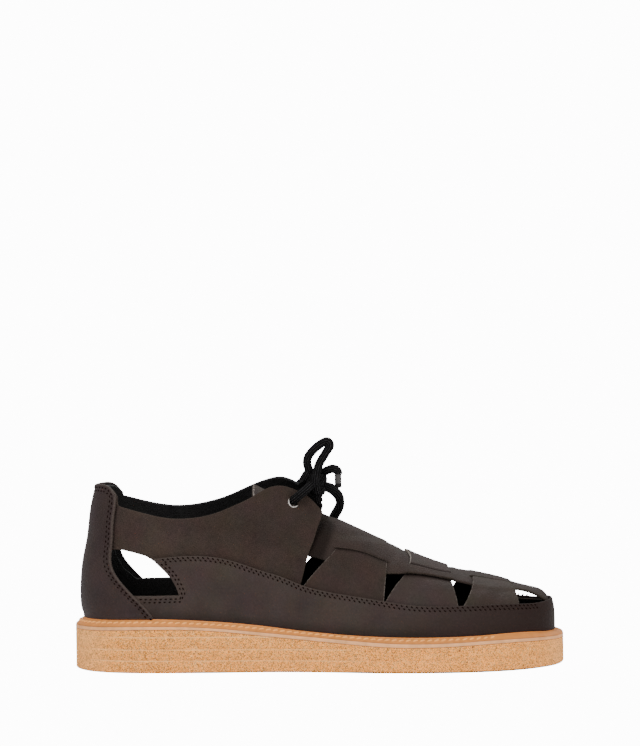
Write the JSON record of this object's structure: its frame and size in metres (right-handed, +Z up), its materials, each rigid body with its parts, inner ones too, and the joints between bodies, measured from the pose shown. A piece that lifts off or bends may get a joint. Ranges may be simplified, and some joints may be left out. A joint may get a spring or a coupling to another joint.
{
  "type": "laced woven leather sandal",
  "caption": "Right lace-up sandal of woven leather straps on a flat crepe wedge with a stitched welt; open windows at the heel and an open weave over the foot.",
  "frame": {"origin": "on the ground under the middle of the sole", "axes": "+X to the toe, +Y to the medial (inner) side of the foot, +Z up"},
  "size_m": [0.2978, 0.108, 0.1372],
  "materials": {
    "crepe": "matt tan crepe rubber with fine dark and light crumbs and faint glue lines",
    "band": "thin tan midsole with a plain cut edge",
    "welt": "tan storm welt with a row of light slanted stitches",
    "lining": "black lining leather, satin",
    "nubuck": "dark brown waxed nubuck, matt, with raw cut edges",
    "smooth": "dark brown smooth leather with a double row of stitches along its edges",
    "lace": "black round braided cord",
    "aglet": "clear plastic tip over the black cord"
  },
  "bodies": {
    "root": {"outsole": "crepe", "midsole": "band", "welt": "welt", "footbed": "lining", "upper": "nubuck", "rand": "smooth", "heel_counter": "smooth", "tongue": "nubuck", "lace_bar": "lace", "lace_knot": "lace", "lace_loop_upper": "lace", "lace_loop_far": "lace", "lace_end_near": "lace", "lace_end_far": "lace", "aglet_near": "aglet", "aglet_far": "aglet"}
  },
  "joints": []
}
